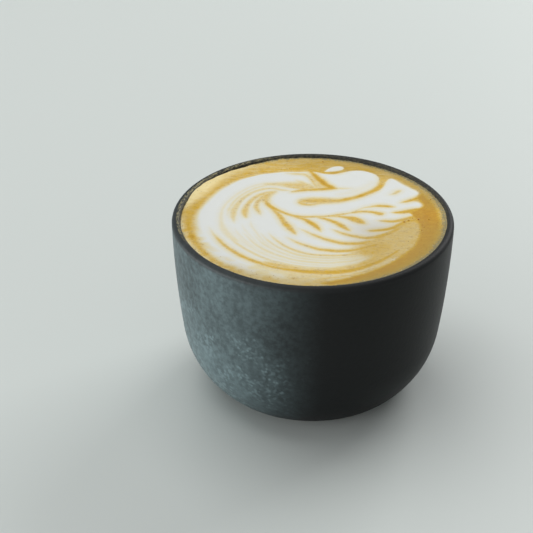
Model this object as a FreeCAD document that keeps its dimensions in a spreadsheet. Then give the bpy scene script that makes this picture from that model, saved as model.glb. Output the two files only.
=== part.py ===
import FreeCAD, Part
import os
from math import asin, cos, pi, radians, sin

import Sketcher

# A cappuccino in its handleless cup, in millimetres.
# +Z is up and the axis of the cup. The origin is the centre of the foot's underside, on the table.
# The cup is one turned ceramic wall: a foot ring, a round belly, a nearly upright side and a round lip.
# The drink fills it from wall to wall. Its surface is flat and falls a little towards the wall.

SIZES = [
    ("RimDiameter", 86.0, "across the lip, outside"),
    ("CupHeight", 57.0, "from the table to the top of the lip"),
    ("WallThickness", 2.7, "side and belly, and the whole width of the lip"),
    ("RimLean", 1.2, "degrees that the side still leans out at the lip"),
    ("SideRadius", 326.0, "curve of the outside between the belly and the lip"),
    ("BellyTop", 20.6, "height at which the belly runs into the side"),
    ("BellyRadius", 30.4, "curve of the outside between the foot and the side"),
    ("FootDiameter", 56.6, "across the foot ring, outside"),
    ("FootHeight", 1.8, "from the table to the belly"),
    ("FootEdgeRadius", 0.6, "round on the outer edge of the foot ring"),
    ("FootRingWidth", 3.5, "flat of the foot ring that the cup stands on"),
    ("RecessDepth", 1.2, "hollow inside the foot ring, with a side at 45 degrees"),
    ("FloorHeight", 5.4, "from the table to the flat floor inside the cup"),
    ("FloorCornerRadius", 12.0, "curve between that floor and the inner wall"),
    ("DrinkCentreDrop", 0.6, "from the top of the lip to the drink's flat middle"),
    ("DrinkEdgeDrop", 0.9, "from the top of the lip to the drink at the wall"),
    ("DrinkEdgeWidth", 6.0, "how far from the wall the drink's surface starts to fall"),
    ("LevelCutMargin", 2.0, "how far the cut that levels the drink passes the lip"),
]

# Ends and centre of a piece of a sketch, then the sketch's own origin, level axis and upright axis.
START, END, CENTRE = 1, 2, 3
ORIGIN, TABLE, CUP_AXIS = -1, -1, -2

SHEET = "Sizes"


def make_sheet(doc):
    """Writes the driving sizes into a spreadsheet, one alias each, and returns what the sheet holds."""
    sheet = doc.addObject("Spreadsheet::Sheet", SHEET)
    for row, (alias, value, meaning) in enumerate(SIZES, start=1):
        sheet.set(f"A{row}", alias)
        sheet.set(f"B{row}", str(value))
        sheet.set(f"C{row}", meaning)
        sheet.setAlias(f"B{row}", alias)
    doc.recompute()
    return {alias: float(sheet.get(alias)) for alias, _, _ in SIZES}


class Profile:
    """Half a section of a turned piece, sketched on the body's XZ plane with the cup's axis upright."""

    def __init__(self, body, name):
        planes = {plane.Role: plane for plane in body.Origin.OriginFeatures}
        self.sketch = body.newObject("Sketcher::SketchObject", name)
        self.sketch.AttachmentSupport = [(planes["XZ_Plane"], "")]
        self.sketch.MapMode = "FlatFace"

    def line(self, start, end, construction=False):
        segment = Part.LineSegment(FreeCAD.Vector(*start, 0), FreeCAD.Vector(*end, 0))
        return self.sketch.addGeometry(segment, construction)

    def arc(self, centre, radius, first, last):
        circle = Part.Circle(FreeCAD.Vector(*centre, 0), FreeCAD.Vector(0, 0, 1), radius)
        return self.sketch.addGeometry(Part.ArcOfCircle(circle, first, last), False)

    def fix(self, kind, *what):
        return self.sketch.addConstraint(Sketcher.Constraint(kind, *what))

    def bind(self, kind, expression, *what):
        """Adds a dimension, whose last argument is its value as drawn, and ties it to the sheet."""
        index = self.fix(kind, *what)
        self.sketch.setExpression(f"Constraints[{index}]", expression)

    def place(self, piece, end, across=None, up=None):
        """Ties a point's distance from the axis, its height above the table, or both."""
        point = self.sketch.getPoint(piece, end)
        if across:
            self.bind("DistanceX", across, ORIGIN, START, piece, end, point.x)
        if up:
            self.bind("DistanceY", up, ORIGIN, START, piece, end, point.y)

    def radius(self, piece, expression):
        self.bind("Radius", expression, piece, self.sketch.Geometry[piece].Radius)

    def chain(self, *pieces):
        """Joins each piece's end to the next one's start."""
        for piece, following in zip(pieces, pieces[1:]):
            self.fix("Coincident", piece, END, following, START)

    def turn(self, body, kind, name):
        """Turns the section a full circle about the cup's axis, as a Revolution or a Groove."""
        feature = body.newObject(f"PartDesign::{kind}", name)
        feature.Profile = self.sketch
        feature.ReferenceAxis = (self.sketch, ["V_Axis"])
        feature.Angle = 360
        body.Tip = feature
        return feature


def polar(centre, radius, angle):
    return (centre[0] + radius * cos(angle), centre[1] + radius * sin(angle))


class Wall:
    """Where the arcs of the wall lie at the sheet's sizes, so that each sketch is drawn solved.

    Every lean is the angle below the level at which an arc's own centre sees its end.
    """

    def __init__(self, size):
        self.thickness = size["WallThickness"]
        self.lip_radius = self.thickness / 2
        self.side_radius = size["SideRadius"]
        self.belly_radius = size["BellyRadius"]
        self.rim_lean = radians(size["RimLean"])
        self.lip = (size["RimDiameter"] / 2 - self.lip_radius, size["CupHeight"] - self.lip_radius)
        self.side = polar(self.lip, self.lip_radius - self.side_radius, -self.rim_lean)
        self.belly_lean = asin((self.side[1] - size["BellyTop"]) / self.side_radius)
        self.belly = polar(self.side, self.side_radius - self.belly_radius, -self.belly_lean)
        self.foot_lean = asin((self.belly[1] - size["FootHeight"]) / self.belly_radius)
        self.corner_radius = size["FloorCornerRadius"]
        self.floor = size["FloorHeight"]
        self.inner_belly_radius = self.belly_radius - self.thickness
        to_corner = self.inner_belly_radius - self.corner_radius
        self.corner_lean = asin((self.belly[1] - self.floor - self.corner_radius) / to_corner)
        self.corner = polar(self.belly, to_corner, -self.corner_lean)


def draw_inside(profile, wall):
    """Draws the wall's inside from the top of the lip to the floor, on two construction lines.

    The lines run from the side's centre, one to the lip's centre and one through the belly's centre to
    the outside where belly and side meet. Returns the pieces by name.
    """
    rim_line = profile.line(wall.side, wall.lip, construction=True)
    belly_top = polar(wall.side, wall.side_radius, -wall.belly_lean)
    belly_line = profile.line(wall.side, belly_top, construction=True)
    lip = profile.arc(wall.lip, wall.lip_radius, pi / 2, pi - wall.rim_lean)
    side_radius = wall.side_radius - wall.thickness
    side = profile.arc(wall.side, side_radius, -wall.belly_lean, -wall.rim_lean)
    belly = profile.arc(wall.belly, wall.inner_belly_radius, -wall.corner_lean, -wall.belly_lean)
    corner = profile.arc(wall.corner, wall.corner_radius, -pi / 2, -wall.corner_lean)
    floor = profile.line((wall.corner[0], wall.floor), (0, wall.floor))

    profile.place(rim_line, END, "Sizes.RimDiameter / 2 - Sizes.WallThickness / 2",
                  "Sizes.CupHeight - Sizes.WallThickness / 2")
    profile.bind("Distance", "Sizes.SideRadius - Sizes.WallThickness / 2",
                 rim_line, wall.side_radius - wall.lip_radius)
    profile.bind("Angle", "-Sizes.RimLean * 1 deg", rim_line, -wall.rim_lean)
    profile.fix("Coincident", belly_line, START, rim_line, START)
    profile.bind("Distance", "Sizes.SideRadius", belly_line, wall.side_radius)
    profile.place(belly_line, END, up="Sizes.BellyTop")

    profile.fix("Coincident", lip, CENTRE, rim_line, END)
    profile.fix("Vertical", lip, START, lip, CENTRE)
    profile.radius(lip, "Sizes.WallThickness / 2")
    profile.fix("Coincident", side, CENTRE, rim_line, START)
    profile.fix("Tangent", side, END, lip, END)
    profile.fix("PointOnObject", side, START, belly_line)
    profile.fix("PointOnObject", belly, CENTRE, belly_line)
    profile.bind("Distance", "Sizes.BellyRadius", belly, CENTRE, belly_line, END, wall.belly_radius)
    profile.fix("Coincident", belly, END, side, START)
    profile.radius(corner, "Sizes.FloorCornerRadius")
    profile.fix("Tangent", corner, END, belly, START)
    profile.fix("Tangent", corner, START, floor, START)
    profile.fix("Horizontal", floor)
    profile.fix("PointOnObject", floor, END, CUP_AXIS)
    profile.place(floor, END, up="Sizes.FloorHeight")
    return {"lip": lip, "belly": belly, "floor": floor, "belly_line": belly_line, "rim_line": rim_line}


def draw_outside(profile, wall, inside):
    """Draws the wall's outside from the foot to the top of the lip. Returns the belly's arc."""
    belly = profile.arc(wall.belly, wall.belly_radius, -wall.foot_lean, -wall.belly_lean)
    side = profile.arc(wall.side, wall.side_radius, -wall.belly_lean, -wall.rim_lean)
    lip = profile.arc(wall.lip, wall.lip_radius, -wall.rim_lean, pi / 2)
    profile.fix("Coincident", lip, CENTRE, inside["rim_line"], END)
    profile.fix("Coincident", lip, END, inside["lip"], START)
    profile.fix("Coincident", side, CENTRE, inside["rim_line"], START)
    profile.fix("Tangent", side, END, lip, START)
    profile.fix("PointOnObject", side, START, inside["belly_line"])
    profile.fix("Coincident", belly, CENTRE, inside["belly"], CENTRE)
    profile.fix("Coincident", belly, END, side, START)
    profile.place(belly, START, up="Sizes.FootHeight")
    return belly


def draw_foot(profile, size, inside, belly):
    """Draws the underside from the cup's axis out to the belly: recess, foot ring and its upright side."""
    edge = size["FootEdgeRadius"]
    foot = size["FootDiameter"] / 2
    ring = foot - edge - size["FootRingWidth"]
    recess = size["RecessDepth"]
    belly_start = profile.sketch.getPoint(belly, START)
    axis_line = profile.line((0, size["FloorHeight"]), (0, recess))
    ceiling = profile.line((0, recess), (ring - recess, recess))
    slope = profile.line((ring - recess, recess), (ring, 0))
    flat = profile.line((ring, 0), (foot - edge, 0))
    edge_round = profile.arc((foot - edge, edge), edge, -pi / 2, 0)
    upright = profile.line((foot, edge), (foot, size["FootHeight"]))
    shelf = profile.line((foot, size["FootHeight"]), (belly_start.x, belly_start.y))

    profile.chain(inside["floor"], axis_line, ceiling, slope, flat)
    profile.fix("Tangent", flat, END, edge_round, START)
    profile.fix("Tangent", edge_round, END, upright, START)
    profile.chain(upright, shelf, belly)
    profile.place(ceiling, START, up="Sizes.RecessDepth")
    profile.fix("PointOnObject", ceiling, START, CUP_AXIS)
    profile.fix("Horizontal", ceiling)
    across_ring = "Sizes.FootDiameter / 2 - Sizes.FootEdgeRadius - Sizes.FootRingWidth"
    profile.place(ceiling, END, across=f"{across_ring} - Sizes.RecessDepth")
    profile.place(flat, START, across=across_ring)
    profile.fix("PointOnObject", flat, START, TABLE)
    profile.fix("Horizontal", flat)
    profile.radius(edge_round, "Sizes.FootEdgeRadius")
    profile.place(upright, START, across="Sizes.FootDiameter / 2")
    profile.fix("Vertical", upright)
    profile.fix("Horizontal", shelf)


def make_cup(doc, size):
    body = doc.addObject("PartDesign::Body", "Cup")
    body.Label = "cup"
    wall = Wall(size)
    section = Profile(body, "CupSection")
    inside = draw_inside(section, wall)
    belly = draw_outside(section, wall, inside)
    draw_foot(section, size, inside, belly)
    section.turn(body, "Revolution", "CupTurned")
    return body


def make_drink(doc, size):
    """Fills the cup to the brim and then grooves away all that lies above the drink's surface."""
    body = doc.addObject("PartDesign::Body", "Drink")
    body.Label = "cappuccino"
    wall = Wall(size)
    height = size["CupHeight"]

    hollow = Profile(body, "HollowSection")
    inside = draw_inside(hollow, wall)
    axis_line = hollow.line((0, size["FloorHeight"]), (0, height))
    brim = hollow.line((0, height), (wall.lip[0], height))
    hollow.chain(inside["floor"], axis_line, brim, inside["lip"])
    hollow.fix("Vertical", axis_line)
    hollow.fix("Horizontal", brim)
    brimful = hollow.turn(body, "Revolution", "HollowTurned")
    doc.recompute()

    level = Profile(body, "LevelSection")
    rim = size["RimDiameter"] / 2
    wall_face = rim - size["WallThickness"]
    flat_end = wall_face - size["DrinkEdgeWidth"]
    centre_level = height - size["DrinkCentreDrop"]
    edge_level = height - size["DrinkEdgeDrop"]
    top = height + size["LevelCutMargin"]
    fall = centre_level - edge_level
    fall_radius = (size["DrinkEdgeWidth"]**2 + fall**2) / (2 * fall)
    fall_angle = asin(size["DrinkEdgeWidth"] / fall_radius)
    flat = level.line((flat_end, centre_level), (0, centre_level))
    inner = level.line((0, centre_level), (0, top))
    over = level.line((0, top), (rim, top))
    outer = level.line((rim, top), (rim, edge_level))
    shoulder = level.line((rim, edge_level), (wall_face, edge_level))
    falling = level.arc((flat_end, centre_level - fall_radius), fall_radius, pi / 2 - fall_angle, pi / 2)
    level.chain(flat, inner, over, outer, shoulder, falling)
    level.fix("Tangent", falling, END, flat, START)
    for level_line in (flat, over, shoulder):
        level.fix("Horizontal", level_line)
    for upright in (inner, outer):
        level.fix("Vertical", upright)
    level.fix("PointOnObject", flat, END, CUP_AXIS)
    level.place(flat, END, up="Sizes.CupHeight - Sizes.DrinkCentreDrop")
    level.place(over, END, "Sizes.RimDiameter / 2", "Sizes.CupHeight + Sizes.LevelCutMargin")
    level.place(falling, START, "Sizes.RimDiameter / 2 - Sizes.WallThickness",
                "Sizes.CupHeight - Sizes.DrinkEdgeDrop")
    level.place(falling, END,
                across="Sizes.RimDiameter / 2 - Sizes.WallThickness - Sizes.DrinkEdgeWidth")
    levelled = level.turn(body, "Groove", "DrinkLevelled")
    doc.recompute()
    if levelled.Shape.Volume >= brimful.Shape.Volume:
        raise RuntimeError("the groove took nothing off the brimful drink")
    return body


def check(doc, bodies):
    """Stops on any failed feature, unsolved sketch or unsound solid."""
    for item in doc.Objects:
        if {"Invalid", "Error"} & set(item.State):
            raise RuntimeError(f"{item.Label} failed: {item.State}")
        if item.isDerivedFrom("Sketcher::SketchObject") and item.solve() != 0:
            raise RuntimeError(f"{item.Label} is not solved")
    for body in bodies:
        shape = body.Shape
        if shape.isNull() or not shape.isValid() or len(shape.Solids) != 1:
            raise RuntimeError(f"{body.Label} is not one sound solid")


def main():
    doc = FreeCAD.newDocument("Cappuccino")
    size = make_sheet(doc)
    bodies = [make_cup(doc, size), make_drink(doc, size)]
    doc.recompute()
    check(doc, bodies)
    os.makedirs("parts", exist_ok=True)
    for body in bodies:
        body.Shape.exportStep(f"parts/{body.Label}.step")
        print(f"{body.Label}: {body.Shape.Volume / 1000:.2f} ml")


main()
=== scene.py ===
from math import asin, cos, pi, radians, sin

import bpy
import numpy as np
from bpy.props import FloatProperty, FloatVectorProperty, IntProperty, PointerProperty
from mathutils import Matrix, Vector


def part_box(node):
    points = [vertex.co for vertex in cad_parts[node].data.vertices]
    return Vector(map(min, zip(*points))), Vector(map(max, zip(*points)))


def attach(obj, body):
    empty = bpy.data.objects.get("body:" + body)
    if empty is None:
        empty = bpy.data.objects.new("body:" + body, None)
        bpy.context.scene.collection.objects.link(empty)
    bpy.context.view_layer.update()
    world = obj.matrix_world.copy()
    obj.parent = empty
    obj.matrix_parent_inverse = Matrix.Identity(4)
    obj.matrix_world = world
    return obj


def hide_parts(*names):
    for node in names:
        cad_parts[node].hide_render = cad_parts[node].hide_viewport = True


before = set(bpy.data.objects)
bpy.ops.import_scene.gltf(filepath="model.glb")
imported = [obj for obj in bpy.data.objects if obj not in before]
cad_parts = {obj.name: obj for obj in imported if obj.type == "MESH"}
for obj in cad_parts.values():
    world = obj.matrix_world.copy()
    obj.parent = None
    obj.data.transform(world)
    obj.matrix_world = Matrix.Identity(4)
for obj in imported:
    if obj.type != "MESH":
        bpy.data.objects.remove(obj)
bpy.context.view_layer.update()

bl_info = {
    "name": "Cappuccino in a handleless cup",
    "version": (1, 0, 0),
    "blender": (4, 5, 0),
    "location": "View3D > Sidebar > Cappuccino",
    "description": "Builds a matt black cup filled to the brim with coffee, with a swan poured in its foam",
    "category": "Object",
}

MM = 0.001
CUP_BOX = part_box("cup")
DRINK_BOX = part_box("cappuccino")
RIM_RADIUS = CUP_BOX[1].x
CUP_HEIGHT = CUP_BOX[1].z
DRINK_RADIUS = DRINK_BOX[1].x
DRINK_LEVEL = DRINK_BOX[1].z
FLOOR_HEIGHT = DRINK_BOX[0].z
# The poured figure is drawn in 44ths of the rim's radius.
UNIT = RIM_RADIUS / 44
# The direction, from the axis, of the side where a pale sheen is painted on the glaze: the side that faces
# the low lamp.
SHEEN_SIDE = (-0.94, -0.34, 0)
# The round bottom edge of the foot ring.
FOOT_EDGE = 0.6 * MM
# How far below its level the foam's sheet is laid before it is raised, and where its side starts below that.
SHEET_DEPTH = 2 * MM
SIDE_START = 3 * MM
# Points closer than this are one point.
ONE_POINT = 0.002 * MM
# How far white milk stands proud of crema, and how uneven the froth is.
MILK_SWELL = 0.05 * MM
FROTH_SWELL = 0.05 * MM
# How far the faint halo of a stroke reaches, in figure units.
HALO = 2.3

# Each lamp's place, width and height in metres, and power in watts.
LAMPS = {
    "skylight": ((-0.26, 0.30, 1.07), (1.0, 1.0), 6.35),
    "far window": ((0.58, 0.74, 0.56), (0.6, 0.5), 5.5),
    "low window": ((-1.15, -0.37, 0.11), (2.0, 0.18), 24),
}
# The lamps aim at this share of the cup's height.
LAMP_AIM = 0.7


# Settings that a user would change

class CupSettings(bpy.types.PropertyGroup):
    """The wall of the cup and its glaze."""

    wall: FloatProperty(
        name="Wall", description="Thickness of the wall and of the lip", default=2.7 * MM, unit="LENGTH")
    rim_lean: FloatProperty(
        name="Rim lean", description="How far the side still leans out at the lip",
        default=radians(1.2), subtype="ANGLE")
    side_radius: FloatProperty(
        name="Side radius", description="Curve of the outside from belly to lip",
        default=326 * MM, unit="LENGTH")
    belly_top: FloatProperty(
        name="Belly top", description="Height at which the belly runs into the side",
        default=20.6 * MM, unit="LENGTH")
    belly_radius: FloatProperty(
        name="Belly radius", description="Curve of the outside from foot to side",
        default=30.4 * MM, unit="LENGTH")
    foot_radius: FloatProperty(
        name="Foot radius", description="Outside of the foot ring", default=28.3 * MM, unit="LENGTH")
    foot_height: FloatProperty(
        name="Foot height", description="Height of the foot ring", default=1.8 * MM, unit="LENGTH")
    recess: FloatProperty(
        name="Recess", description="Depth of the hollow inside the foot ring",
        default=1.2 * MM, unit="LENGTH")
    ring_width: FloatProperty(
        name="Ring width", description="Flat of the foot ring", default=3.5 * MM, unit="LENGTH")
    floor_corner: FloatProperty(
        name="Floor corner", description="Curve between the floor inside and the wall",
        default=12 * MM, unit="LENGTH")
    segments: IntProperty(
        name="Segments", description="Steps round the cup", default=256, min=48, max=512)
    glaze: FloatVectorProperty(
        name="Glaze", description="Colour of the matt glaze", subtype="COLOR", size=3,
        default=(0.0048, 0.0054, 0.0056))
    # Painted highlight: the lip is painted paler than the glaze, in place of the highlight along it.
    lip: FloatVectorProperty(
        name="Lip", description="Glaze on the lip", subtype="COLOR", size=3,
        default=(0.0155, 0.017, 0.0172))
    # Painted sheen: the pale colour painted on the side of the cup that faces the low lamp, with mottles in
    # it.
    glaze_sheen_and_bloom: FloatVectorProperty(
        name="Bloom", description="Colour of the paler mottles in the glaze", subtype="COLOR", size=3,
        default=(0.101, 0.143, 0.151))
    clay: FloatVectorProperty(
        name="Clay", description="Bare clay under the foot", subtype="COLOR", size=3,
        default=(0.075, 0.068, 0.062))
    residue: FloatVectorProperty(
        name="Residue", description="Dried coffee on the lip", subtype="COLOR", size=3,
        default=(0.30, 0.265, 0.14))


class DrinkSettings(bpy.types.PropertyGroup):
    """The coffee's surface and the colours of milk and crema."""

    cells: IntProperty(
        name="Cells", description="Cells across the foam's surface", default=280, min=40, max=290)
    into_wall: FloatProperty(
        name="Into the wall", description="How far the drink reaches into the cup's wall",
        default=0.25 * MM, unit="LENGTH")
    level: FloatProperty(
        name="Level", description="How far below the rim the middle of the foam stands",
        default=0.75 * MM, unit="LENGTH")
    milk: FloatVectorProperty(
        name="Milk", description="White milk foam", subtype="COLOR", size=3,
        default=(0.76, 0.78, 0.75))
    cream: FloatVectorProperty(
        name="Cream", description="Milk foam with a little crema", subtype="COLOR", size=3,
        default=(0.765, 0.685, 0.43))
    tan: FloatVectorProperty(
        name="Tan", description="Crema and milk half and half", subtype="COLOR", size=3,
        default=(0.735, 0.555, 0.212))
    gold: FloatVectorProperty(
        name="Gold", description="Crema", subtype="COLOR", size=3, default=(0.668, 0.414, 0.032))
    brown: FloatVectorProperty(
        name="Brown", description="Dark crema", subtype="COLOR", size=3, default=(0.52, 0.262, 0.012))
    bubble: FloatVectorProperty(
        name="Bubble", description="Coffee seen through a bubble", subtype="COLOR", size=3,
        default=(0.13, 0.055, 0.012))
    # Painted light: the pale colour painted on the crema by the wall at the back left, where light falls on
    # it.
    painted_light_tint: FloatVectorProperty(
        name="Bright crema", description="Crema where it is palest", subtype="COLOR", size=3,
        default=(0.93, 0.78, 0.40))
    shade: FloatVectorProperty(
        name="Shade", description="What the foam darkens towards near the wall", subtype="COLOR", size=3,
        default=(0.37, 0.25, 0.050))
    dark: FloatVectorProperty(
        name="Streaks", description="Darker streaks and specks in the crema", subtype="COLOR", size=3,
        default=(0.40, 0.20, 0.015))
    froth: FloatVectorProperty(
        name="Froth", description="Grey froth that clings to the wall", subtype="COLOR", size=3,
        default=(0.205, 0.19, 0.10))


class StageSettings(bpy.types.PropertyGroup):
    """Floor, lamps and camera."""

    floor_size: FloatProperty(
        name="Floor", description="Width of the floor", default=6.0, unit="LENGTH")
    floor_colour: FloatVectorProperty(
        name="Floor colour", description="Colour of the floor", subtype="COLOR", size=3,
        default=(0.60, 0.64, 0.615))
    surround_colour: FloatVectorProperty(
        name="Surround colour", description="Colour of the light from all round", subtype="COLOR", size=3,
        default=(0.96, 0.98, 1.0))
    surround_strength: FloatProperty(
        name="Surround strength", description="Strength of the light from all round", default=0.30)
    elevation: FloatProperty(
        name="Elevation", description="How steeply the camera looks down",
        default=radians(30.76), subtype="ANGLE")
    distance: FloatProperty(
        name="Distance", description="From the camera to the middle of the rim, along its view",
        default=457.5 * MM, unit="LENGTH")
    aside: FloatProperty(
        name="Aside", description="How far the camera stands to the left of the cup",
        default=14.1 * MM, unit="LENGTH")
    below: FloatProperty(
        name="Below", description="How far below the middle of the rim the camera aims",
        default=15.63 * MM, unit="LENGTH")
    lens: FloatProperty(name="Lens", description="Focal length in millimetres", default=101.3)


# Materials

# What the foam's mesh holds at each point.
FOAM_NUMBERS = ("milk", "depth", "froth", "bright")


class Link:
    """A socket that gives a number, with arithmetic that adds the Math nodes it needs."""

    def __init__(self, material, socket):
        self.material = material
        self.socket = socket

    def maths(self, operation, *others):
        return self.material.node("ShaderNodeMath", {"operation": operation}, self, *others)

    def __add__(self, other):
        return self.maths("ADD", other)

    def __sub__(self, other):
        return self.maths("SUBTRACT", other)

    def __rsub__(self, other):
        return self.material.node("ShaderNodeMath", {"operation": "SUBTRACT"}, other, self)

    def __mul__(self, other):
        return self.maths("MULTIPLY", other)

    def __truediv__(self, other):
        return self.maths("DIVIDE", other)

    def __pow__(self, other):
        return self.maths("POWER", other)

    __radd__ = __add__
    __rmul__ = __mul__

    def least(self, other):
        return self.maths("MINIMUM", other)

    def rise(self, low, high):
        """0 below low and 1 above high, with a smooth step between. Falls when low is above high."""
        settings = {"interpolation_type": "SMOOTHSTEP"}
        if low > high:
            return 1 - self.material.node("ShaderNodeMapRange", settings, self, high, low)
        return self.material.node("ShaderNodeMapRange", settings, self, low, high)


class Material:
    """A procedural material under construction."""

    def __init__(self, name):
        self.data = bpy.data.materials.new(name)
        self.data.use_nodes = True
        self.tree = self.data.node_tree
        self.tree.nodes.clear()

    def node(self, kind, settings, *values, output=0, **named):
        """Adds a node, sets it up and fills its sockets in order or by name. Returns one of its outputs."""
        made = self.tree.nodes.new(kind)
        for key, value in settings.items():
            if key == "ramp":
                self.fill_ramp(made.color_ramp, value)
            else:
                setattr(made, key, value)
        sockets = [s for s in made.inputs if s.enabled]
        pairs = list(zip(sockets, values)) + [(made.inputs[key], value) for key, value in named.items()]
        for socket, value in pairs:
            if isinstance(value, Link):
                self.tree.links.new(value.socket, socket)
            elif value is not None:
                socket.default_value = value
        outputs = [s for s in made.outputs if s.enabled]
        return Link(self, outputs[output])

    @staticmethod
    def fill_ramp(ramp, stops):
        while len(ramp.elements) > 1:
            ramp.elements.remove(ramp.elements[-1])
        ramp.elements[0].position, ramp.elements[0].color = stops[0][0], (*stops[0][1], 1)
        for place, colour in stops[1:]:
            ramp.elements.new(place).color = (*colour, 1)

    def ramp(self, factor, stops):
        return self.node("ShaderNodeValToRGB", {"ramp": stops}, factor)

    def mix(self, factor, first, second):
        """Mixes two colours, each a link or three numbers."""
        first, second = (c if isinstance(c, Link) else (*c, 1) for c in (first, second))
        return self.node("ShaderNodeMix", {"data_type": "RGBA"}, factor, first, second)

    def places(self, stretch=(1, 1, 1)):
        """Object coordinates, stretched so that a pattern is finer along the axes with larger numbers."""
        here = self.node("ShaderNodeTexCoord", {}, output=3)
        return self.node("ShaderNodeMapping", {}, here, Scale=stretch)

    def axes(self):
        """X, Y and Z of the object coordinates."""
        split = self.node("ShaderNodeSeparateXYZ", {}, self.places())
        return [Link(self, socket) for socket in split.socket.node.outputs]

    def grain(self, size, detail=3.0, roughness=0.5, where=None, distortion=0.0):
        """Noise with features about this many metres across."""
        return self.node("ShaderNodeTexNoise", {"noise_dimensions": "3D"}, where or self.places(),
                         Scale=1 / size, Detail=detail, Roughness=roughness, Distortion=distortion)

    def dots(self, size, output=0):
        """Distance to the nearest of scattered points this far apart, or with output 1 its random colour."""
        return self.node("ShaderNodeTexVoronoi", {"feature": "F1"}, self.places(),
                         Scale=1 / size, output=output)

    def attribute(self, name):
        """A number that the mesh holds at each point."""
        return self.node("ShaderNodeAttribute", {"attribute_name": name}, output=2)

    def bump(self, height, distance, strength):
        return self.node("ShaderNodeBump", {}, Strength=strength, Distance=distance, Height=height)

    def finish(self, **sockets):
        """Adds the shader, with an underscore for each space in a socket's name, and returns the material."""
        named = {key.replace("_", " "): value for key, value in sockets.items()}
        surface = self.node("ShaderNodeBsdfPrincipled", {}, **named)
        made = self.tree.nodes.new("ShaderNodeOutputMaterial")
        self.tree.links.new(surface.socket, made.inputs["Surface"])
        return self.data


def glaze_material(settings):
    """Matt black glaze, finely pitted, with a painted sheen on one side, a lip painted paler as a painted
    highlight, dried coffee inside it and bare clay underneath.
    """
    glaze = Material("matt black glaze")
    x, y, z = glaze.axes()
    reach = (x * x + y * y) ** 0.5
    mottles = glaze.grain(1.7 * MM, 3, 0.6)
    # Painted sheen: the side that faces the low lamp is painted pale, mottled and speckled.
    sheen_and_bloom = painted_sheen_and_mottles(glaze, z, mottles)
    colour = glaze.mix(sheen_and_bloom, settings.glaze, settings.glaze_sheen_and_bloom)
    # Painted highlight: the lip is painted a paler grey than the glaze, over the painted sheen.
    lip = z.rise(CUP_HEIGHT - 2.0 * MM, CUP_HEIGHT - 0.6 * MM)
    colour = glaze.mix(lip * 0.8, colour, settings.lip)
    bare = z.rise(0.30 * MM, 0.10 * MM) + z.rise(1.6 * MM, 1.1 * MM) * reach.rise(27 * MM, 26 * MM)
    bare = bare.least(1.0)
    colour = glaze.mix(bare, colour, settings.clay)
    turn = glaze.node("ShaderNodeMath", {"operation": "ARCTAN2"}, y, x)
    coffee = dried_coffee(glaze, turn, reach, z, RIM_RADIUS - settings.wall / 2)
    colour = glaze.mix(coffee, colour, settings.residue)

    pits = glaze.dots(0.8 * MM).rise(0.0, 0.45)
    skin = glaze.grain(1.3 * MM, 4, 0.6)
    normal = glaze.bump(skin * 0.7 + pits * 0.35 + mottles, 0.07 * MM, 0.6)
    rough = 0.50 - sheen_and_bloom * 0.05 + bare * 0.3 + lip * 0.08
    return glaze.finish(Base_Color=colour, Roughness=rough, Normal=normal, Specular_IOR_Level=0.20)


def painted_sheen_and_mottles(glaze, z, mottles):
    """How pale the glaze is: dark on one side, and on the other a painted sheen, cloudy, mottled, paler low
    down and speckled with painted glints.
    """
    lit_side = glaze.node("ShaderNodeVectorMath", {"operation": "DOT_PRODUCT"}, glaze.places(), SHEEN_SIDE)
    lit_side = (lit_side / RIM_RADIUS).rise(0.24, 0.95)
    clouds = glaze.grain(11 * MM, 3, 0.55, glaze.places((1, 1, 0.7)), 0.3)
    patchy = clouds.rise(0.25, 0.75) * 0.26 + mottles.rise(0.30, 0.70) * 0.32
    patchy = patchy + z.rise(42 * MM, 16 * MM) * 0.22 + 0.26
    specks = glaze.grain(1.2 * MM, 0, 0.4).rise(0.46, 0.76)
    spots = glaze.dots(1.9 * MM).rise(0.34, 0.08)
    # Pale specks and spots low on the sheen side: painted glints.
    crowd = lit_side * glaze.grain(8 * MM, 2).rise(0.38, 0.66) * z.rise(48 * MM, 24 * MM)
    sheen_and_bloom = (0.012 + lit_side * 0.988) * patchy + (specks * 0.6 + spots * 0.8) * crowd
    return sheen_and_bloom.least(1.0)


def dried_coffee(glaze, turn, reach, z, middle):
    """Coffee dried inside the middle of the lip, where the cup was tipped for the pour: a broken tide mark
    with a thinner film below it."""
    around = glaze.node("ShaderNodeCombineXYZ", {}, turn * RIM_RADIUS, reach * 3.0, z * 3.0)
    streaky = glaze.grain(1.3 * MM, 4, 0.7, around, 0.3)
    tipped = turn.rise(radians(98), radians(128)) + turn.rise(radians(-152), radians(-172))
    tide = z.rise(CUP_HEIGHT - 3 * MM, CUP_HEIGHT - 2 * MM)
    tide = tide * reach.rise(middle + 0.12 * MM, middle - 0.12 * MM)
    tide = tide * reach.rise(middle - 0.95 * MM, middle - 0.70 * MM)
    mark = tide * streaky.rise(0.44, 0.62) * tipped
    back = turn.rise(radians(-20), radians(20)) * 0.55 + turn.rise(radians(70), radians(110)) * 0.45
    film = z.rise(CUP_HEIGHT - 4 * MM, CUP_HEIGHT - 2.5 * MM) * reach.rise(middle, middle - 0.3 * MM)
    film = film * (back + tipped).least(1.0) * streaky.rise(0.35, 0.7) * 0.35
    return (mark * 0.9 + film).least(0.92)


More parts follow.
